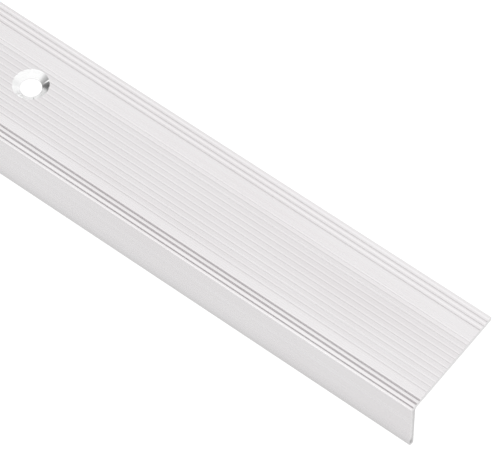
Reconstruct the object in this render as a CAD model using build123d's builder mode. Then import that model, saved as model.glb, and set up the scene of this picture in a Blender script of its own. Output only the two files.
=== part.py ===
from build123d import *
import os
from math import radians, tan

"""Door threshold strip: an extruded aluminium angle with a grooved top and countersunk screws.

The strip runs along X, its leg turns down at the front (-Y) and +Z is up. The origin is on the
underside of the flange, the face that rests on the floor, at mid-length and mid-width.
All lengths are in millimetres and all angles in degrees.
"""

# The extrusion
LENGTH = 900.0
WIDTH = 30.0
DROP = 16.6
FLANGE_THICKNESS = 1.5
LEG_THICKNESS = 1.5
NOSE_RADIUS = 1.5
INNER_FILLET = 0.8

# The toe of the leg leans inwards
TOE_HEIGHT = 2.8
TOE_LEAN = 0.3
TOE_EDGE_RADIUS = 0.3

# The back edge of the flange
BACK_BEVEL_RUN = 0.5
BACK_BEVEL_DROP = 0.22

# Grooves along the top, each row by its first groove's distance from the front face
NOSE_GROOVE_FIRST, NOSE_GROOVE_PITCH, NOSE_GROOVE_COUNT = 0.74, 1.20, 3
TREAD_GROOVE_FIRST, TREAD_GROOVE_PITCH, TREAD_GROOVE_COUNT = 5.82, 1.50, 11
BACK_GROOVE_FIRST, BACK_GROOVE_PITCH, BACK_GROOVE_COUNT = 25.89, 1.39, 3
NOSE_GROOVE_WIDTH, NOSE_GROOVE_DEPTH = 0.62, 0.55
TREAD_GROOVE_WIDTH, TREAD_GROOVE_DEPTH = 0.50, 0.20
BACK_GROOVE_WIDTH, BACK_GROOVE_DEPTH = 0.80, 0.35
BAND_LINE, BAND_LINE_WIDTH, BAND_LINE_DEPTH = 21.85, 0.30, 0.08
NOSE_BEAD_RADIUS = 0.20
BACK_BEAD_RADIUS = 0.30

# The countersunk holes
HOLE_COUNT = 4
END_TO_FIRST_HOLE = 121.5
HOLE_TO_BACK_EDGE = 14.0
HOLE_RADIUS = 2.6
COUNTERSINK_RADIUS = 4.4
COUNTERSINK_ANGLE = 110.0

# The countersunk wood screws
SCREW_LENGTH = 16.0
SCREW_HEAD_RADIUS = 3.7
SCREW_HEAD_EDGE = 0.15
SCREW_HEAD_ANGLE = 90.0
SCREW_SHANK_RADIUS = 2.0
SCREW_POINT_LENGTH = 3.6
SCREW_POINT_RADIUS = 0.15
RECESS_SPAN, RECESS_WING = 4.3, 1.1
RECESS_FLOOR_SPAN, RECESS_FLOOR_WING = 1.6, 0.8
RECESS_DEPTH = 2.1

# Worked out from the values above
FRONT = -WIDTH / 2
BACK = WIDTH / 2
TOP = FLANGE_THICKNESS
TOE = TOP - DROP
HOLE_ROW = BACK - HOLE_TO_BACK_EDGE
HOLE_PITCH = (LENGTH - 2 * END_TO_FIRST_HOLE) / (HOLE_COUNT - 1)
SCREW_NAMES = ["screw_left_end", "screw_left_middle", "screw_right_middle"]


def groove_row(first, pitch, count):
    """Distances of a row of equally spaced grooves from the middle of the width."""
    return [FRONT + first + pitch * i for i in range(count)]


def cut_grooves(places, width, depth):
    """Cuts V grooves of this width and depth into the top of the section."""
    rise = depth
    half = width / 2 * (depth + rise) / depth
    with Locations(*[(y, TOP) for y in places]):
        Polygon((-half, rise), (0, -depth), (half, rise), align=None, mode=Mode.SUBTRACT)


def mouths(vertices, places, width):
    """The corners at the top of a row of grooves, in the section's own axes."""
    low = places[0] - width
    high = places[-1] + width
    return [v for v in vertices if low < v.X < high and v.Y > TOP - width / 4]


def make_strip():
    """The extrusion: an L section with its grooves, drawn out and drilled."""
    inner = FRONT + LEG_THICKNESS
    with BuildPart() as strip:
        # In this sketch X is the distance across the strip and Y is the height
        with BuildSketch(Plane.YZ.offset(-LENGTH / 2)) as section:
            with BuildLine():
                Polyline(
                    (BACK, 0),
                    (BACK, TOP - BACK_BEVEL_DROP),
                    (BACK - BACK_BEVEL_RUN, TOP),
                    (FRONT, TOP),
                    (FRONT, TOE + TOE_HEIGHT),
                    (FRONT + TOE_LEAN, TOE),
                    (inner, TOE),
                    (inner, 0),
                    close=True,
                )
            make_face()
            fillet(section.vertices().group_by(Axis.X)[0].sort_by(Axis.Y)[-1], NOSE_RADIUS)
            fillet(section.vertices().group_by(Axis.Y)[0], TOE_EDGE_RADIUS)
            fillet(section.vertices().sort_by_distance((inner, 0))[0], INNER_FILLET)
            nose_row = groove_row(NOSE_GROOVE_FIRST, NOSE_GROOVE_PITCH, NOSE_GROOVE_COUNT)
            tread_row = groove_row(TREAD_GROOVE_FIRST, TREAD_GROOVE_PITCH, TREAD_GROOVE_COUNT)
            back_row = groove_row(BACK_GROOVE_FIRST, BACK_GROOVE_PITCH, BACK_GROOVE_COUNT)
            cut_grooves(nose_row, NOSE_GROOVE_WIDTH, NOSE_GROOVE_DEPTH)
            cut_grooves(tread_row, TREAD_GROOVE_WIDTH, TREAD_GROOVE_DEPTH)
            cut_grooves(back_row, BACK_GROOVE_WIDTH, BACK_GROOVE_DEPTH)
            cut_grooves([FRONT + BAND_LINE], BAND_LINE_WIDTH, BAND_LINE_DEPTH)
            fillet(mouths(section.vertices(), nose_row, NOSE_GROOVE_WIDTH), NOSE_BEAD_RADIUS)
            fillet(mouths(section.vertices(), back_row, BACK_GROOVE_WIDTH), BACK_BEAD_RADIUS)
        extrude(amount=LENGTH)
        with Locations((0, HOLE_ROW, TOP)):
            with GridLocations(HOLE_PITCH, 1, HOLE_COUNT, 1):
                CounterSinkHole(HOLE_RADIUS, COUNTERSINK_RADIUS, counter_sink_angle=COUNTERSINK_ANGLE)
    return strip


def make_screw(x):
    """A flat-head wood screw with a cross recess, its head flush with the top of the strip."""
    cone_height = (SCREW_HEAD_RADIUS - SCREW_SHANK_RADIUS) / tan(radians(SCREW_HEAD_ANGLE / 2))
    cone_top = TOP - SCREW_HEAD_EDGE
    tip = TOP - SCREW_LENGTH
    with BuildPart() as screw:
        with BuildSketch(Plane.XZ.offset(-HOLE_ROW)):
            with BuildLine():
                Polyline(
                    (x, TOP),
                    (x + SCREW_HEAD_RADIUS, TOP),
                    (x + SCREW_HEAD_RADIUS, cone_top),
                    (x + SCREW_SHANK_RADIUS, cone_top - cone_height),
                    (x + SCREW_SHANK_RADIUS, tip + SCREW_POINT_LENGTH),
                    (x + SCREW_POINT_RADIUS, tip),
                    (x, tip),
                    close=True,
                )
            make_face()
        revolve(axis=Axis((x, HOLE_ROW, 0), (0, 0, 1)))
        for turn in (0, 90):
            head_plane = Plane((x, HOLE_ROW, TOP)).rotated((0, 0, turn))
            with BuildSketch(head_plane):
                Rectangle(RECESS_SPAN, RECESS_WING)
            with BuildSketch(head_plane.offset(-RECESS_DEPTH)):
                Rectangle(RECESS_FLOOR_SPAN, RECESS_FLOOR_WING)
            loft(mode=Mode.SUBTRACT)
    return screw


def hole_places():
    """X of each hole, from the left end to the right."""
    first = -LENGTH / 2 + END_TO_FIRST_HOLE
    return [first + HOLE_PITCH * i for i in range(HOLE_COUNT)]


def save(piece, name):
    """Labels a finished piece and writes it as its own STEP file."""
    piece.part.label = name
    export_step(piece.part, f"parts/{name}.step")


os.makedirs("parts", exist_ok=True)
save(make_strip(), "strip_extrusion")
for name, x in zip(SCREW_NAMES, hole_places()):
    save(make_screw(x), name)
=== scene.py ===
"""Looks of the aluminium threshold strip and its screws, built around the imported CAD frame.

Lengths are in metres. X runs along the strip, its leg turns down at the front (-Y) and +Z is up.
"""

from __future__ import annotations

import logging
import math
from dataclasses import dataclass, field
from enum import Enum
from typing import Callable, Sequence

import bmesh
import bpy
from mathutils import Matrix, Vector

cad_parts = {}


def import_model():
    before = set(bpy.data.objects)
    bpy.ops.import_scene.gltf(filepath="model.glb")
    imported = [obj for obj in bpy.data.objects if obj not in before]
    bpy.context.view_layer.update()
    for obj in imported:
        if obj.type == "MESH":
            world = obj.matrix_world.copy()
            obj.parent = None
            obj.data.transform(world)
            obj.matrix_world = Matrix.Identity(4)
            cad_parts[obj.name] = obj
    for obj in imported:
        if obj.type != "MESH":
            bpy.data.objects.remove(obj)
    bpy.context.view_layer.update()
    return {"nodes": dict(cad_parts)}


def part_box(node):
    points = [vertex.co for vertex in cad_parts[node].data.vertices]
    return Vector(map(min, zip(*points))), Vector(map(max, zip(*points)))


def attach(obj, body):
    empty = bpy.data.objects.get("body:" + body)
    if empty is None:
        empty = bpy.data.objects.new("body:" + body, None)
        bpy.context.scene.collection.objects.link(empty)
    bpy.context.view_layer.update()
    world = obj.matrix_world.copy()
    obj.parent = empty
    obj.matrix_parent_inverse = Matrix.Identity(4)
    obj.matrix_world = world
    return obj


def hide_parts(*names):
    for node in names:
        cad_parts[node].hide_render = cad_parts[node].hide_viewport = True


LOG = logging.getLogger("threshold_strip")

MM = 0.001
MICRON = 1e-6
SMALL = 1e-6
SLACK = 2e-5
FACING = 0.9
FLAT_ANGLE = math.radians(0.5)


# ---------------------------------------------------------------------------
# Shader maths
# ---------------------------------------------------------------------------


class Signal:
    """A number that changes over a surface, written in Python expressions."""

    def __init__(self, tree: bpy.types.NodeTree, socket: bpy.types.NodeSocket) -> None:
        """Wraps one output socket of a shader tree."""
        self.tree = tree
        self.socket = socket

    def _math(self, operation: str, *values: "Signal | float", clamp: bool = False) -> "Signal":
        """Adds one Math node.

        Args:
            operation: The Math node's operation.
            values: Its inputs in order, signals or numbers.
            clamp: Whether the result is kept between 0 and 1.

        Returns:
            The node's result.
        """
        node = self.tree.nodes.new("ShaderNodeMath")
        node.operation = operation
        node.use_clamp = clamp
        for socket, value in zip(node.inputs, values):
            if isinstance(value, Signal):
                self.tree.links.new(value.socket, socket)
            else:
                socket.default_value = value
        return Signal(self.tree, node.outputs[0])

    def __add__(self, other: "Signal | float") -> "Signal":
        """This plus the other."""
        return self._math("ADD", self, other)

    __radd__ = __add__

    def __sub__(self, other: "Signal | float") -> "Signal":
        """This less the other."""
        return self._math("SUBTRACT", self, other)

    def __rsub__(self, other: float) -> "Signal":
        """A number less this."""
        return self._math("SUBTRACT", other, self)

    def __mul__(self, other: "Signal | float") -> "Signal":
        """This times the other."""
        return self._math("MULTIPLY", self, other)

    __rmul__ = __mul__

    def __abs__(self) -> "Signal":
        """The size of this without its sign."""
        return self._math("ABSOLUTE", self)

    def least(self, other: "Signal | float") -> "Signal":
        """The smaller of this and the other."""
        return self._math("MINIMUM", self, other)

    def band(self, low: float, high: float) -> "Signal":
        """A ramp that is 0 below low and 1 above high."""
        return self._math("MULTIPLY", self - low, 1.0 / (high - low), clamp=True)


class NodeBoard:
    """A node tree, with the few calls that every finish and the room's light are written in."""

    def __init__(self, tree: bpy.types.NodeTree, coordinates: str) -> None:
        """Empties a tree and reads one output of its texture coordinates.

        Args:
            tree: The node tree to write in.
            coordinates: The name of the coordinates' output.
        """
        self.tree = tree
        tree.nodes.clear()
        self.place = self.node("ShaderNodeTexCoord").outputs[coordinates]

    def fill(self, node: bpy.types.Node, **sockets: object) -> None:
        """Sets or links a node's inputs.

        Args:
            node: The node.
            sockets: Values or links for its inputs, by name with _ for a space.
        """
        for name, value in sockets.items():
            socket = node.inputs[name.replace("_", " ")]
            if isinstance(value, Signal):
                value = value.socket
            if isinstance(value, bpy.types.NodeSocket):
                self.tree.links.new(value, socket)
            else:
                socket.default_value = value

    def node(self, kind: str, settings: dict | None = None, **sockets: object) -> bpy.types.Node:
        """Adds a node.

        Args:
            kind: The node's type.
            settings: Its own settings, made first.
            sockets: Values or links for its inputs, by name with _ for a space.

        Returns:
            The new node.
        """
        made = self.tree.nodes.new(kind)
        for name, value in (settings or {}).items():
            setattr(made, name, value)
        self.fill(made, **sockets)
        return made

    def signal(self, node: bpy.types.Node, output: str) -> Signal:
        """One output of a node as a signal."""
        return Signal(self.tree, node.outputs[output])

    def axes(self) -> tuple[Signal, Signal, Signal]:
        """Returns the place on the piece as three signals, X, Y and Z in metres."""
        split = self.node("ShaderNodeSeparateXYZ", Vector=self.place)
        return self.signal(split, "X"), self.signal(split, "Y"), self.signal(split, "Z")

    def noise(self, per_metre: Sequence[float], detail: float = 2.0) -> Signal:
        """Noise stretched by its own scale on each axis.

        Args:
            per_metre: Cells per metre along X, Y and Z.
            detail: How many finer layers it has.

        Returns:
            The noise, about 0 to 1 with a mean of 0.5.
        """
        placed = self.node("ShaderNodeMapping", Vector=self.place, Scale=tuple(per_metre))
        made = self.node("ShaderNodeTexNoise", Vector=placed.outputs[0], Scale=1.0, Detail=detail)
        return self.signal(made, "Fac")

    def mix(self, share: Signal, low: object, high: object) -> bpy.types.NodeSocket:
        """A colour between two colours or links, by a share that changes over the surface."""
        made = self.node("ShaderNodeMix", {"data_type": "RGBA"}, Factor=share, A=low, B=high)
        return made.outputs["Result"]

    def colour(self, low: Sequence[float], high: Sequence[float], share: Signal) -> bpy.types.NodeSocket:
        """A colour between two given without their alpha."""
        return self.mix(share, (*low, 1.0), (*high, 1.0))

    def darkened(self, colour: bpy.types.NodeSocket, loss: Signal) -> bpy.types.NodeSocket:
        """A colour drawn towards black by a share that changes over the surface."""
        return self.mix(loss, colour, (0.0, 0.0, 0.0, 1.0))

    def bump(self, height: Signal, depth: float) -> bpy.types.NodeSocket:
        """The normal of a surface with this height.

        Args:
            height: The height, 0 to 1.
            depth: What a height of 1 stands for, in metres.

        Returns:
            The normal's socket.
        """
        made = self.node("ShaderNodeBump", Height=height, Distance=depth, Strength=1.0)
        return made.outputs[0]


class Finish(NodeBoard):
    """A material with one Principled shader."""

    def __init__(self, name: str) -> None:
        """Starts the material.

        Args:
            name: The material's name.
        """
        self.material = bpy.data.materials.new(name)
        self.material.use_nodes = True
        super().__init__(self.material.node_tree, "Object")
        output = self.node("ShaderNodeOutputMaterial")
        self.shader = self.node("ShaderNodeBsdfPrincipled")
        self.tree.links.new(self.shader.outputs[0], output.inputs["Surface"])

    def set(self, **sockets: object) -> None:
        """Sets or links the Principled shader's inputs, by name with _ for a space."""
        self.fill(self.shader, **sockets)


@dataclass(frozen=True)
class MillAluminium:
    """Aluminium as it leaves the die: satin, with fine lines drawn along its length, and with painted shade
    darkening its colour towards the toe of the leg.
    """

    toe: float
    tread: tuple[float, float]
    dull: tuple[float, float, float] = (0.624, 0.603, 0.609)
    bright: tuple[float, float, float] = (0.668, 0.657, 0.663)
    roughness: float = 0.27
    line_depth: float = 0.9 * MICRON
    toe_shade_loss: float = 0.27
    toe_shade_reach: float = 7.0 * MM
    tread_loss: float = 0.045
    tread_edge: float = 0.3 * MM
    fine_cells: tuple[float, float, float] = (6, 9000, 9000)
    broad_cells: tuple[float, float, float] = (3, 900, 900)
    patch_cells: tuple[float, float, float] = (25, 60, 60)
    speck_cells: tuple[float, float, float] = (700, 4500, 4500)
    shade_span: tuple[float, float] = (0.3, 0.7)

    def make(self) -> bpy.types.Material:
        """Builds the material.

        Returns:
            The new material.
        """
        finish = Finish("mill_aluminium")
        _, across, height = finish.axes()
        fine = finish.noise(self.fine_cells)
        broad = finish.noise(self.broad_cells, detail=3.0)
        patches = finish.noise(self.patch_cells, detail=3.0)
        speck = finish.noise(self.speck_cells)
        shade = (0.40 * broad + 0.45 * patches + 0.15 * fine).band(*self.shade_span)
        # Painted shade: the base colour darkens over the last few millimetres above the toe, standing in
        # for the shade the leg mirrors near the floor; loss adds it to the darker band over the tread.
        painted_toe_shade = 1.0 - (height - self.toe).band(0.0, self.toe_shade_reach)
        behind_front = (across - self.tread[0]).band(0.0, self.tread_edge)
        before_back = (self.tread[1] - across).band(0.0, self.tread_edge)
        loss = painted_toe_shade * painted_toe_shade * self.toe_shade_loss + behind_front * before_back * self.tread_loss
        relief = 0.85 * fine + 0.15 * speck
        finish.set(
            Base_Color=finish.darkened(finish.colour(self.dull, self.bright, shade), loss),
            Metallic=1.0,
            Roughness=self.roughness + 0.10 * (broad - 0.5) + 0.04 * (speck - 0.5),
            Normal=finish.bump(relief, self.line_depth),
        )
        return finish.material


@dataclass(frozen=True)
class SawnAluminium:
    """The cut end: burnished near the outer faces, dull and torn towards the inner ones."""

    front: float
    top: float
    toe: float
    torn: tuple[float, float, float] = (0.51, 0.50, 0.50)
    burnished: tuple[float, float, float] = (0.68, 0.67, 0.67)
    roughness: float = 0.38
    line_depth: float = 4.0 * MICRON
    line_cells: tuple[float, float, float] = (1500, 1200, 9000)
    patch_cells: tuple[float, float, float] = (300, 300, 900)
    flange_skin: float = 0.4
    skin: tuple[float, float] = (0.45 * MM, 0.95 * MM)
    skin_wander: float = 1.0 * MM
    # Where the painted shadow spot on the cut end sits, how it fades and how dark it is.
    shadow_spot_depth: float = 0.45 * MM
    shadow_spot_height: float = 1.75 * MM
    shadow_spot_sides: tuple[float, float] = (0.25 * MM, 0.65 * MM)
    shadow_spot_ends: tuple[float, float] = (0.4 * MM, 1.2 * MM)
    shadow_spot_reach: float = 1.0 * MM
    shadow_spot_loss: float = 0.5

    def make(self) -> bpy.types.Material:
        """Builds the material.

        Returns:
            The new material.
        """
        finish = Finish("sawn_aluminium")
        x, y, z = finish.axes()
        lines = finish.noise(self.line_cells)
        patches = finish.noise(self.patch_cells)
        under_skin = (y - self.front).least((self.top - z) * self.flange_skin)
        wander = self.skin_wander * (patches - 0.5)
        share = (1.0 - (under_skin + wander).band(*self.skin)) * 0.8 + 0.2 * lines
        # Painted shadow: a small dark spot on the right cut end, just above the toe and behind the front
        # face.
        aside = abs(y - (self.front + self.shadow_spot_depth)).band(*self.shadow_spot_sides)
        above = abs(z - (self.toe + self.shadow_spot_height)).band(*self.shadow_spot_ends)
        right_end = x.band(0.0, self.shadow_spot_reach)
        painted_shadow_spot = (1.0 - aside) * (1.0 - above) * right_end * self.shadow_spot_loss
        finish.set(
            Base_Color=finish.darkened(finish.colour(self.torn, self.burnished, share), painted_shadow_spot),
            Metallic=1.0,
            Roughness=self.roughness + 0.12 * (patches - 0.5),
            Normal=finish.bump(lines, self.line_depth),
        )
        return finish.material


@dataclass(frozen=True)
class DrilledAluminium:
    """The bright wall that a countersink cutter leaves."""

    dull: tuple[float, float, float] = (0.71, 0.71, 0.71)
    bright: tuple[float, float, float] = (0.79, 0.79, 0.79)
    roughness: float = 0.18
    line_depth: float = 1.5 * MICRON
    ring_cells: tuple[float, float, float] = (200, 200, 14000)
    ring_span: tuple[float, float] = (0.3, 0.7)

    def make(self) -> bpy.types.Material:
        """Builds the material.

        Returns:
            The new material.
        """
        finish = Finish("drilled_aluminium")
        rings = finish.noise(self.ring_cells)
        finish.set(
            Base_Color=finish.colour(self.dull, self.bright, rings.band(*self.ring_span)),
            Metallic=1.0,
            Roughness=self.roughness + 0.10 * (rings - 0.5),
            Normal=finish.bump(rings, self.line_depth),
        )
        return finish.material


@dataclass(frozen=True)
class ZincSteel:
    """Bright zinc plate on the screws."""

    dull: tuple[float, float, float] = (0.60, 0.61, 0.62)
    bright: tuple[float, float, float] = (0.76, 0.76, 0.75)
    roughness: float = 0.27
    grain_depth: float = 2.0 * MICRON
    patch_cells: tuple[float, float, float] = (500, 500, 500)
    patch_span: tuple[float, float] = (0.35, 0.65)
    grain_cells: tuple[float, float, float] = (5000, 5000, 5000)

    def make(self) -> bpy.types.Material:
        """Builds the material.

        Returns:
            The new material.
        """
        finish = Finish("zinc_steel")
        patches = finish.noise(self.patch_cells, detail=3.0)
        grain = finish.noise(self.grain_cells)
        finish.set(
            Base_Color=finish.colour(self.dull, self.bright, patches.band(*self.patch_span)),
            Metallic=1.0,
            Roughness=self.roughness + 0.14 * (patches - 0.5) + 0.06 * (grain - 0.5),
            Normal=finish.bump(grain, self.grain_depth),
        )
        return finish.material


@dataclass(frozen=True)
class PaleFloor:
    """The plain white floor of the studio, lit from within so that it stays white."""

    paint: tuple[float, float, float] = (0.1, 0.1, 0.1)
    glow: float = 1.0

    def make(self) -> bpy.types.Material:
        """Builds the material.

        Returns:
            The new material.
        """
        finish = Finish("pale_floor")
        finish.set(
            Base_Color=(*self.paint, 1.0),
            Roughness=1.0,
            Specular_IOR_Level=0.0,
            Emission_Color=(1.0, 1.0, 1.0, 1.0),
            Emission_Strength=self.glow,
        )
        return finish.material


# ---------------------------------------------------------------------------
# Mesh work
# ---------------------------------------------------------------------------


class Pick(Enum):
    """What an edit-mode step works on."""

    VERTICES = "VERT"
    EDGES = "EDGE"
    FACES = "FACE"


class Join(Enum):
    """How one object is combined with another."""

    CUT = "DIFFERENCE"
    ADD = "UNION"


class Bench:
    """One object on the bench, shaped in edit mode with things picked by their place."""

    def __init__(self, obj: bpy.types.Object, name: str) -> None:
        """Takes an object and names it.

        Args:
            obj: The object, such as one that a primitive operator has just added.
            name: Its new name, and its mesh's.
        """
        self.obj = obj
        obj.name = name
        obj.data.name = name

    @staticmethod
    def clear() -> None:
        """Deselects everything and leaves edit mode."""
        if bpy.context.object and bpy.context.object.mode != "OBJECT":
            bpy.ops.object.mode_set(mode="OBJECT")
        bpy.ops.object.select_all(action="DESELECT")

    def activate(self) -> None:
        """Makes this the only selected object."""
        self.clear()
        bpy.context.view_layer.objects.active = self.obj
        self.obj.select_set(True)

    def pick(self, what: Pick, test: Callable[[object], bool]) -> None:
        """Enters edit mode with only what passes a test selected.

        Args:
            what: Whether vertices, edges or faces are tested.
            test: Gets one bmesh element and says whether it is wanted.
        """
        self.activate()
        bpy.ops.object.mode_set(mode="EDIT")
        bpy.ops.mesh.select_mode(type=what.value)
        bpy.ops.mesh.select_all(action="DESELECT")
        work = bmesh.from_edit_mesh(self.obj.data)
        pool = {Pick.VERTICES: work.verts, Pick.EDGES: work.edges, Pick.FACES: work.faces}[what]
        for element in pool:
            if test(element):
                element.select_set(True)
        work.select_flush_mode()
        bmesh.update_edit_mesh(self.obj.data)

    def slice(self, across: Sequence[float], normal: Sequence[float]) -> None:
        """Cuts every face along a plane and keeps both sides."""
        self.pick(Pick.FACES, lambda face: True)
        bpy.ops.mesh.bisect(plane_co=across, plane_no=normal, threshold=SMALL)

    def shift(self, step: Sequence[float]) -> None:
        """Moves what is picked."""
        bpy.ops.transform.translate(value=step)

    def drop(self, test: Callable[[object], bool], height: float) -> None:
        """Moves vertices that share one height to another.

        Args:
            test: Gets a vertex and says whether it is one of them.
            height: The Z that they go to.
        """
        self.pick(Pick.VERTICES, test)
        work = bmesh.from_edit_mesh(self.obj.data)
        now = max(v.co.z for v in work.verts if v.select)
        self.shift((0, 0, height - now))

    def bevel(self, radius: float, segments: int) -> None:
        """Rounds the picked edges.

        Args:
            radius: How far the rounding reaches from each edge.
            segments: How many faces it has.
        """
        bpy.ops.mesh.bevel(
            offset=radius,
            offset_type="OFFSET",
            segments=segments,
            affect="EDGES",
            profile=0.5,
            clamp_overlap=True,
        )

    def weld(self) -> None:
        """Merges corners that lie on one another."""
        self.pick(Pick.FACES, lambda face: True)
        bpy.ops.mesh.remove_doubles(threshold=2 * SMALL)

    def done(self) -> None:
        """Leaves edit mode."""
        bpy.ops.object.mode_set(mode="OBJECT")

    def combine(self, other: "Bench", way: Join) -> None:
        """Applies a boolean with another object, which is used up.

        Args:
            other: The object that this one is combined with.
            way: Whether the other is cut out or added.
        """
        self.activate()
        step = self.obj.modifiers.new("combine", "BOOLEAN")
        step.operation = way.value
        step.solver = "EXACT"
        step.material_mode = "TRANSFER"
        step.object = other.obj
        bpy.ops.object.modifier_apply(modifier=step.name)
        bpy.data.objects.remove(other.obj)

    def finish(self, angle: float) -> None:
        """Closes the mesh, turns its normals outwards and smooths its blunt edges.

        Args:
            angle: In degrees, how sharp an edge may be and still be smoothed.
        """
        self.weld()
        bpy.ops.mesh.normals_make_consistent(inside=False)
        self.done()
        self.activate()
        bpy.ops.object.transform_apply(location=True, rotation=True, scale=True)
        bpy.ops.object.shade_smooth_by_angle(angle=math.radians(angle))
        step = self.obj.modifiers.new("flat_faces", "WEIGHTED_NORMAL")
        step.keep_sharp = True
        bpy.ops.object.modifier_apply(modifier=step.name)


def near(value: float, target: float, slack: float = SLACK) -> bool:
    """Whether two places are the same within some slack."""
    return abs(value - target) < slack


@dataclass
class GrooveRow:
    """A row of equal V grooves along the strip."""

    first: float
    pitch: float
    count: int
    width: float
    depth: float
    mouth_round: float
    root_round: float

    def places(self, front: float) -> list[float]:
        """Returns each groove's Y, from the front face back."""
        return [front + self.first + self.pitch * i for i in range(self.count)]


@dataclass
class StripExtrusion:
    """The aluminium angle: a grooved flange, a leg and a row of countersunk holes."""

    low: Vector
    high: Vector
    thickness: float = 1.5 * MM
    nose_radius: float = 1.5 * MM
    inner_radius: float = 0.8 * MM
    toe_height: float = 2.8 * MM
    toe_lean: float = 0.3 * MM
    toe_radius: float = 0.3 * MM
    toe_bend: float = 1.2 * MM
    back_bevel: float = 0.5 * MM
    back_drop: float = 0.15 * MM
    hole_inset: float = 121.5 * MM
    hole_from_back: float = 14.0 * MM
    hole_count: int = 4
    hole_radius: float = 2.6 * MM
    sink_radius: float = 4.4 * MM
    sink_angle: float = 110.0
    facets: int = 96
    nose_segments: int = 12
    bend_segments: int = 6
    toe_segments: int = 4
    mouth_segments: int = 4
    root_segments: int = 2
    margin: float = 0.5 * MM
    over: float = 2.0 * MM
    long_share: float = 0.9
    halvings: int = 30
    smooth_angle: float = 28.0
    rows: list[GrooveRow] = field(default_factory=lambda: [
        GrooveRow(0.74 * MM, 1.20 * MM, 3, 0.60 * MM, 0.50 * MM, 0.20 * MM, 0.05 * MM),
        GrooveRow(5.82 * MM, 1.50 * MM, 11, 0.44 * MM, 0.14 * MM, 0.12 * MM, 0.06 * MM),
        GrooveRow(21.82 * MM, 1.50 * MM, 1, 0.36 * MM, 0.11 * MM, 0.07 * MM, 0.04 * MM),
        GrooveRow(25.89 * MM, 1.39 * MM, 3, 0.80 * MM, 0.35 * MM, 0.27 * MM, 0.08 * MM),
    ])

    def hole_places(self) -> list[float]:
        """Spaces the holes evenly between the first and the last.

        Returns:
            The X of each hole, from the left end to the right.
        """
        first = self.low.x + self.hole_inset
        pitch = (self.high.x - self.low.x - 2 * self.hole_inset) / (self.hole_count - 1)
        return [first + pitch * i for i in range(self.hole_count)]

    @property
    def hole_row(self) -> float:
        """The Y of the row of holes."""
        return self.high.y - self.hole_from_back

    @property
    def tread_row(self) -> GrooveRow:
        """The wide row of grooves that is walked on."""
        return self.rows[1]

    @property
    def underside(self) -> float:
        """The Z of the flange's underside."""
        return self.high.z - self.thickness

    def blank(self) -> Bench:
        """Draws the plain angle, with its nose and its toe shaped.

        Returns:
            The ungrooved strip.
        """
        middle = (self.low + self.high) / 2
        Bench.clear()
        bpy.ops.mesh.primitive_cube_add(
            size=1.0, location=(middle.x, middle.y, self.high.z - self.thickness / 2)
        )
        bench = Bench(bpy.context.object, "strip_metal")
        bench.obj.scale = (self.high.x - self.low.x, self.high.y - self.low.y, self.thickness)
        bench.activate()
        bpy.ops.object.transform_apply(location=True, rotation=True, scale=True)
        inner = self.low.y + self.thickness
        bench.slice((0, inner, 0), (0, 1, 0))
        bench.pick(Pick.FACES, lambda f: f.normal.z < -FACING and f.calc_center_median().y < inner)
        drop = self.underside - self.low.z
        bpy.ops.mesh.extrude_region_move(TRANSFORM_OT_translate={"value": (0, 0, -drop)})
        bench.slice((0, 0, self.low.z + self.toe_height), (0, 0, 1))
        bench.pick(Pick.VERTICES, lambda v: near(v.co.z, self.low.z) and near(v.co.y, self.low.y))
        bench.shift((0, self.toe_lean, 0))
        self.long_edges(bench, lambda m: near(m.y, self.low.y) and near(m.z, self.high.z))
        bench.bevel(self.nose_radius, self.nose_segments)
        bend = self.low.z + self.toe_height
        self.long_edges(bench, lambda m: near(m.y, self.low.y) and near(m.z, bend))
        bench.bevel(self.toe_bend, self.bend_segments)
        bench.done()
        return bench

    def surface(self, y: float) -> float:
        """Finds the height of the ungrooved top.

        Args:
            y: A distance across the strip.

        Returns:
            The Z of the top there.
        """
        inside = self.low.y + self.nose_radius - y
        if inside <= 0:
            return self.high.z
        return self.high.z - self.nose_radius + math.sqrt(max(self.nose_radius ** 2 - inside ** 2, 0.0))

    def mouth(self, row: GrooveRow, y: float, side: int) -> float:
        """Finds where one flank of a groove meets the top.

        Args:
            row: The groove's row.
            y: The middle of the groove.
            side: -1 for the flank nearer the front, 1 for the other.

        Returns:
            The Y of the edge between the flank and the top.
        """
        near_root, far_out = 0.0, row.width / 2
        for _ in range(self.halvings):
            reach = (near_root + far_out) / 2
            height = self.high.z - row.depth * (1 - 2 * reach / row.width)
            if height < self.surface(y + side * reach):
                near_root = reach
            else:
                far_out = reach
        return y + side * far_out

    def cut_rows(self, bench: Bench) -> None:
        """Draws every groove into the top, and the bevel along the back.

        Args:
            bench: The ungrooved strip.
        """
        for row in self.rows:
            for y in row.places(self.low.y):
                for edge in (self.mouth(row, y, -1), y, self.mouth(row, y, 1)):
                    bench.slice((0, edge, 0), (0, 1, 0))
                bench.drop(lambda v: near(v.co.y, y) and v.co.z > self.underside + SMALL,
                           self.high.z - row.depth)
        bench.slice((0, self.high.y - self.back_bevel, 0), (0, 1, 0))
        bench.pick(Pick.VERTICES, lambda v: near(v.co.y, self.high.y) and near(v.co.z, self.high.z))
        bench.shift((0, 0, -self.back_drop))
        bench.done()
        self.clear_flats(bench)

    def clear_flats(self, bench: Bench) -> None:
        """Dissolves the cuts that the grooves left across flat faces."""
        bench.pick(Pick.FACES, lambda face: True)
        bpy.ops.mesh.dissolve_limited(angle_limit=FLAT_ANGLE, use_dissolve_boundaries=False)
        bench.done()

    def long_edges(self, bench: Bench, test: Callable[[Vector], bool]) -> None:
        """Picks edges that run the whole length.

        Args:
            bench: The strip.
            test: Gets an edge's middle and says whether it is wanted.
        """
        span = self.high.x - self.low.x

        def wanted(edge: bmesh.types.BMEdge) -> bool:
            """Whether an edge runs along X and its middle passes."""
            a, b = edge.verts
            return abs(a.co.x - b.co.x) > self.long_share * span and test((a.co + b.co) / 2)

        bench.pick(Pick.EDGES, wanted)

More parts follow.
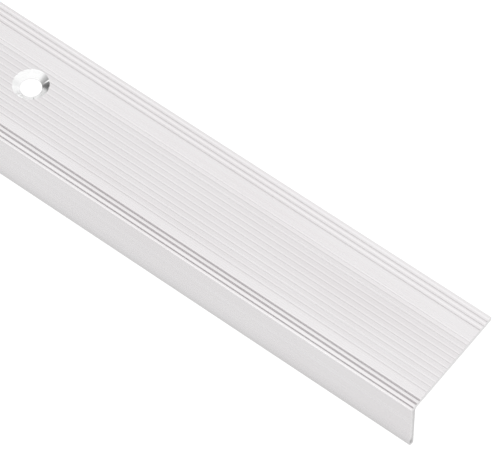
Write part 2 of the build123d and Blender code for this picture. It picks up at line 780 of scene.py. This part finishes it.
    def round_edges(self, bench: Bench) -> None:
        """Rounds the grooves, the inner corner and the toe.

        Args:
            bench: The grooved strip.
        """
        top, front = self.high.z, self.low.y
        on_top = self.underside + self.margin
        for row in self.rows:
            roots = row.places(front)
            for y in roots:
                ends = [self.mouth(row, y, side) for side in (-1, 1)]
                self.long_edges(bench, lambda m: m.z > on_top and any(near(m.y, e, SMALL) for e in ends))
                bench.bevel(row.mouth_round, self.mouth_segments)
            root = top - row.depth
            self.long_edges(bench, lambda m: near(m.z, root) and any(near(m.y, y) for y in roots))
            bench.bevel(row.root_round, self.root_segments)
        inner = front + self.thickness
        self.long_edges(bench, lambda m: near(m.y, inner) and near(m.z, self.underside))
        bench.bevel(self.inner_radius, self.bend_segments)
        self.long_edges(bench, lambda m: near(m.z, self.low.z))
        bench.bevel(self.toe_radius, self.toe_segments)
        bench.weld()
        bench.done()

    def countersink(self, x: float, material: bpy.types.Material) -> Bench:
        """Shapes the cutter for one countersunk hole.

        Args:
            x: Where the hole is along the strip.
            material: The finish that the cut wall takes.

        Returns:
            The cutter.
        """
        slope = math.tan(math.radians(self.sink_angle / 2))
        land_top = self.high.z - (self.sink_radius - self.hole_radius) / slope
        bottom = self.underside - self.over
        Bench.clear()
        bpy.ops.mesh.primitive_cylinder_add(
            vertices=self.facets,
            radius=self.hole_radius,
            depth=land_top - bottom,
            location=(x, self.hole_row, (land_top + bottom) / 2),
        )
        cutter = Bench(bpy.context.object, "countersink_cutter")
        cutter.activate()
        bpy.ops.object.transform_apply(location=True, rotation=True, scale=True)
        cutter.pick(Pick.FACES, lambda f: f.normal.z > FACING)
        rise = self.high.z + self.over - land_top
        bpy.ops.mesh.extrude_region_move(TRANSFORM_OT_translate={"value": (0, 0, rise)})
        grow = (self.hole_radius + rise * slope) / self.hole_radius
        bpy.ops.transform.resize(
            value=(grow, grow, 1), center_override=(x, self.hole_row, self.high.z + self.over)
        )
        cutter.done()
        cutter.obj.data.materials.append(material)
        return cutter

    def build(self) -> Bench:
        """Builds the strip and dresses it in its finishes.

        Returns:
            The finished strip.
        """
        tread = self.tread_row.places(self.low.y)
        metal = MillAluminium(self.low.z, (tread[0] - self.margin, tread[-1] + self.margin)).make()
        sawn = SawnAluminium(self.low.y, self.high.z, self.low.z).make()
        drilled = DrilledAluminium().make()
        bench = self.blank()
        self.cut_rows(bench)
        self.round_edges(bench)
        bench.obj.data.materials.append(metal)
        bench.obj.data.materials.append(sawn)
        bench.pick(Pick.FACES, lambda f: abs(f.normal.x) > FACING)
        bench.obj.active_material_index = 1
        bpy.ops.object.material_slot_assign()
        bench.done()
        for x in self.hole_places():
            bench.combine(self.countersink(x, drilled), Join.CUT)
        bench.finish(self.smooth_angle)
        return bench


@dataclass
class WoodScrew:
    """A flat-head wood screw: a cross recess, a plain neck, a thread and a point."""

    low: Vector
    high: Vector
    head_edge: float = 0.15 * MM
    neck_radius: float = 1.45 * MM
    core_radius: float = 1.30 * MM
    crest_radius: float = 2.00 * MM
    neck_length: float = 1.6 * MM
    point_length: float = 3.6 * MM
    tip_radius: float = 0.10 * MM
    tip_shoulder: float = 0.22 * MM
    tip_length: float = 0.15 * MM
    neck_step: float = 0.2 * MM
    face_round: float = 0.06 * MM
    pitch: float = 1.7 * MM
    crest_width: float = 0.75 * MM
    ridge_root: float = 0.2 * MM
    ridge_start: float = 0.9 * MM
    recess_span: float = 4.3 * MM
    recess_wing: float = 1.1 * MM
    recess_depth: float = 2.1 * MM
    recess_floor_span: float = 1.6 * MM
    recess_taper: float = 0.7
    recess_round: float = 0.15 * MM
    crest_flat: float = 0.06
    point_crest: float = 0.35
    least_radius: float = 0.02 * MM
    facets: int = 48
    steps: int = 24
    smooth_angle: float = 32.0

    @property
    def axis(self) -> Vector:
        """The middle of the screw, at the height of its tip."""
        middle = (self.low + self.high) / 2
        return Vector((middle.x, middle.y, self.low.z))

    @property
    def head_radius(self) -> float:
        """The radius of the head."""
        return (self.high.x - self.low.x) / 2

    @property
    def neck_top(self) -> float:
        """The Z where the head's cone meets the neck."""
        return self.high.z - self.head_edge - (self.head_radius - self.neck_radius)

    @property
    def thread_top(self) -> float:
        """The Z where the thread starts."""
        return self.neck_top - self.neck_length

    def body(self) -> Bench:
        """Draws the head, neck, core and point down from the head's face.

        Returns:
            The screw without its cross and its thread.
        """
        x, y = self.axis.x, self.axis.y
        Bench.clear()
        bpy.ops.mesh.primitive_circle_add(
            vertices=self.facets, radius=self.head_radius, fill_type="NGON", location=(x, y, self.high.z)
        )
        bench = Bench(bpy.context.object, "screw_body")
        bench.activate()
        bpy.ops.object.transform_apply(location=True, rotation=True, scale=True)
        bench.pick(Pick.FACES, lambda face: True)
        outline = [
            (self.high.z - self.head_edge, self.head_radius),
            (self.neck_top, self.neck_radius),
            (self.thread_top, self.neck_radius),
            (self.thread_top - self.neck_step, self.core_radius),
            (self.low.z + self.point_length, self.core_radius),
            (self.low.z + self.tip_length, self.tip_shoulder),
            (self.low.z, self.tip_radius),
        ]
        height, radius = self.high.z, self.head_radius
        for next_height, next_radius in outline:
            step = {"value": (0, 0, next_height - height)}
            bpy.ops.mesh.extrude_region_move(TRANSFORM_OT_translate=step)
            grow = next_radius / radius
            bpy.ops.transform.resize(value=(grow, grow, 1), center_override=(x, y, next_height))
            height, radius = next_height, next_radius
        bpy.ops.mesh.select_all(action="SELECT")
        bpy.ops.mesh.normals_make_consistent(inside=False)
        bench.pick(Pick.EDGES, lambda e: all(near(v.co.z, self.high.z) for v in e.verts))
        bench.bevel(self.face_round, 2)
        bench.done()
        return bench

    def recess(self, turned: bool) -> Bench:
        """Shapes the cutter for one arm of the cross.

        Args:
            turned: Whether the arm lies across the strip.

        Returns:
            The cutter.
        """
        above = 0.5 * MM
        size = (self.recess_span, self.recess_wing, self.recess_depth + above)
        middle = (self.axis.x, self.axis.y, self.high.z + (above - self.recess_depth) / 2)
        Bench.clear()
        bpy.ops.mesh.primitive_cube_add(size=1.0, location=middle)
        arm = Bench(bpy.context.object, "recess_cutter")
        arm.obj.scale = (size[1], size[0], size[2]) if turned else size
        arm.activate()
        bpy.ops.object.transform_apply(location=True, rotation=True, scale=True)
        arm.pick(Pick.FACES, lambda f: f.normal.z < -FACING)
        along, across = self.recess_floor_span / self.recess_span, self.recess_taper
        shrink = (across, along, 1) if turned else (along, across, 1)
        bpy.ops.transform.resize(value=shrink, center_override=middle)
        arm.pick(Pick.EDGES, lambda e: abs(e.verts[0].co.z - e.verts[1].co.z) > MM)
        arm.bevel(self.recess_round, 3)
        arm.done()
        return arm

    def slimmed(self, place: Vector) -> Vector:
        """Draws the thread in towards the axis, over the screw's point and at the thread's top.

        Args:
            place: One corner of the thread.

        Returns:
            Where that corner goes.
        """
        out = Vector((place.x - self.axis.x, place.y - self.axis.y, 0.0))
        height = place.z - self.low.z
        along_point = min(max(height / self.point_length, 0.0), 1.0)
        start = min(max((self.thread_top - place.z) / (0.5 * self.pitch), 0.0), 1.0)
        rise = max(out.length - self.core_radius, -self.ridge_root)
        core = self.tip_radius + (self.core_radius - self.tip_radius) * along_point
        if rise > 0:
            rise = rise * (self.point_crest + (1 - self.point_crest) * along_point) * start
        radius = max(core + rise, self.least_radius)
        return self.axis + Vector((0, 0, height)) + out.normalized() * radius

    def thread(self) -> Bench:
        """Winds the ridge of the thread up from the point.

        Returns:
            The ridge, closed at both ends.
        """
        bottom = self.low.z + self.ridge_start
        turns = (self.thread_top - bottom) / self.pitch
        Bench.clear()
        bpy.ops.mesh.primitive_circle_add(
            vertices=4, radius=1.0, fill_type="NOTHING", location=(self.axis.x, self.axis.y, bottom)
        )
        ridge = Bench(bpy.context.object, "screw_thread")
        root, crest = self.core_radius - self.ridge_root, self.crest_radius
        corners = [(root, -0.5), (crest, -self.crest_flat), (crest, self.crest_flat), (root, 0.5)]
        for vertex, (radius, share) in zip(ridge.obj.data.vertices, corners):
            vertex.co = (radius, 0.0, share * self.crest_width)
        ridge.activate()
        step = ridge.obj.modifiers.new("wind", "SCREW")
        step.axis = "Z"
        step.angle = 2 * math.pi * turns
        step.screw_offset = self.pitch * turns
        step.iterations = 1
        step.steps = step.render_steps = round(self.steps * turns)
        bpy.ops.object.modifier_apply(modifier=step.name)
        bpy.ops.object.transform_apply(location=True, rotation=True, scale=True)
        ridge.pick(Pick.FACES, lambda face: True)
        bpy.ops.mesh.select_all(action="DESELECT")
        bpy.ops.mesh.select_mode(type="EDGE")
        bpy.ops.mesh.select_non_manifold()
        bpy.ops.mesh.fill_holes(sides=4)
        bpy.ops.mesh.select_all(action="SELECT")
        bpy.ops.mesh.normals_make_consistent(inside=False)
        ridge.done()
        for vertex in ridge.obj.data.vertices:
            vertex.co = self.slimmed(vertex.co)
        return ridge

    def build(self, material: bpy.types.Material) -> Bench:
        """Builds the screw and dresses it.

        Args:
            material: Its finish.

        Returns:
            The finished screw.
        """
        bench = self.body()
        for turned in (False, True):
            bench.combine(self.recess(turned), Join.CUT)
        bench.combine(self.thread(), Join.ADD)
        bench.obj.data.materials.clear()
        bench.obj.data.materials.append(material)
        bench.finish(self.smooth_angle)
        return bench

    @staticmethod
    def copy(bench: Bench, name: str, step: Vector) -> Bench:
        """Copies a finished screw to another hole.

        Args:
            bench: The finished screw.
            name: The copy's name.
            step: How far the copy is from the first.

        Returns:
            The copy, with its own mesh.
        """
        twin = bench.obj.copy()
        twin.data = bench.obj.data.copy()
        bpy.context.scene.collection.objects.link(twin)
        made = Bench(twin, name)
        made.activate()
        bpy.ops.transform.translate(value=step)
        bpy.ops.object.transform_apply(location=True, rotation=True, scale=True)
        return made


# ---------------------------------------------------------------------------
# Studio
# ---------------------------------------------------------------------------


@dataclass
class Studio:
    """The pale floor, the soft lights and the camera."""

    low: Vector
    high: Vector
    azimuth: float = 38.567
    elevation: float = 57.533
    roll: float = -0.893
    focal_length: float = 266.23
    from_corner: tuple[float, float, float] = (217.26 * MM, -329.56 * MM, 694.57 * MM)
    sky_level: float = 1.31
    back_horizon: float = 1.20
    front_horizon: float = 1.90
    softbox: tuple[float, float, float] = (-0.335, -0.131, 0.933)
    softbox_gain: float = 0.16
    softbox_edge: tuple[float, float] = (0.86, 0.97)
    front_ramp: tuple[float, float] = (0.0, 0.6)
    horizon_ramp: tuple[float, float] = (0.0, 0.45)
    left_loss: float = 0.88
    left_ramp: tuple[float, float] = (0.44, 0.66)
    left_height: tuple[float, float] = (0.25, 0.80)
    right_loss: float = 0.45
    right_ramp: tuple[float, float] = (0.2, 0.6)
    right_height: tuple[float, float] = (0.3, 0.6)
    side_loss: float = 0.03
    side_ramp: tuple[float, float] = (0.25, 0.45)
    floor_size: float = 60.0
    floor_gap: float = 0.1 * MM
    sensor: float = 36.0
    clip: tuple[float, float] = (0.01, 100.0)

    def floor(self) -> None:
        """Lays the floor just under the strip's leg."""
        Bench.clear()
        bpy.ops.mesh.primitive_plane_add(size=self.floor_size, location=(0, 0, self.low.z - self.floor_gap))
        floor = bpy.context.object
        floor.name = "studio_floor"
        bpy.ops.object.transform_apply(location=True, rotation=True, scale=True)
        floor.data.materials.append(PaleFloor().make())

    def sky(self) -> None:
        """Fills the room with soft light: brightest in front, dimmer low at the left and right."""
        world = bpy.data.worlds.new("room")
        bpy.context.scene.world = world
        world.use_nodes = True
        board = NodeBoard(world.node_tree, "Generated")
        x, y, z = board.axes()
        towards = x * self.softbox[0] + y * self.softbox[1] + z * self.softbox[2]
        front = (0.0 - y).band(*self.front_ramp)
        low_level = self.back_horizon + (self.front_horizon - self.back_horizon) * front
        rise = z.band(*self.horizon_ramp)
        above = low_level * (1.0 - rise) + self.sky_level * rise
        left_low = (0.0 - x).band(*self.left_ramp) * (1.0 - z.band(*self.left_height))
        right_low = x.band(*self.right_ramp) * (1.0 - z.band(*self.right_height))
        side = 1.0 - self.side_loss * (0.0 - x).band(*self.side_ramp)
        dimmed = (1.0 - self.left_loss * left_low) * (1.0 - self.right_loss * right_low) * side
        level = (above + self.softbox_gain * towards.band(*self.softbox_edge)) * dimmed
        background = board.node("ShaderNodeBackground", Color=(1.0, 1.0, 1.0, 1.0), Strength=level)
        output = board.node("ShaderNodeOutputWorld")
        board.tree.links.new(background.outputs[0], output.inputs["Surface"])

    def camera(self) -> None:
        """Sets up the camera over the strip's right end."""
        corner = Vector((self.high.x, self.low.y, self.high.z))
        data = bpy.data.cameras.new("camera")
        data.lens = self.focal_length
        data.sensor_width = self.sensor
        camera = bpy.data.objects.new("camera", data)
        bpy.context.scene.collection.objects.link(camera)
        a, e = math.radians(self.azimuth), math.radians(self.elevation)
        back = Vector((math.sin(a) * math.cos(e), -math.cos(a) * math.cos(e), math.sin(e)))
        turn = (-back).to_track_quat("-Z", "Y").to_matrix().to_4x4()
        turn = turn @ Matrix.Rotation(math.radians(self.roll), 4, "Z")
        camera.matrix_world = Matrix.Translation(corner + Vector(self.from_corner)) @ turn
        data.clip_start, data.clip_end = self.clip
        bpy.context.scene.camera = camera

    def build(self) -> None:
        """Sets everything up and shows colours as they are."""
        self.floor()
        self.sky()
        self.camera()
        bpy.context.scene.view_settings.view_transform = "Standard"


def main() -> None:
    """Builds the looks around the frame."""
    logging.basicConfig(level=logging.INFO, format="%(name)s: %(message)s")
    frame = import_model()
    low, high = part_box("strip_extrusion")
    strip = StripExtrusion(Vector(low), Vector(high)).build()
    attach(strip.obj, "strip")
    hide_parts("strip_extrusion")
    LOG.info("strip: %d faces", len(strip.obj.data.polygons))
    names = [name for name in frame["nodes"] if name.startswith("screw_")]
    boxes = {name: [Vector(corner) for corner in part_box(name)] for name in names}
    first = names[0]
    screw = WoodScrew(*boxes[first]).build(ZincSteel().make())
    screw.obj.name = f"{first}_steel"
    pieces = {first: screw}
    for name in names[1:]:
        step = boxes[name][0] - boxes[first][0]
        pieces[name] = WoodScrew.copy(screw, f"{name}_steel", step)
    for name, piece in pieces.items():
        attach(piece.obj, name)
        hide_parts(name)
        LOG.info("%s: %d faces", name, len(piece.obj.data.polygons))
    Studio(Vector(low), Vector(high)).build()
    bpy.context.view_layer.update()


if __name__ == "__main__":
    main()
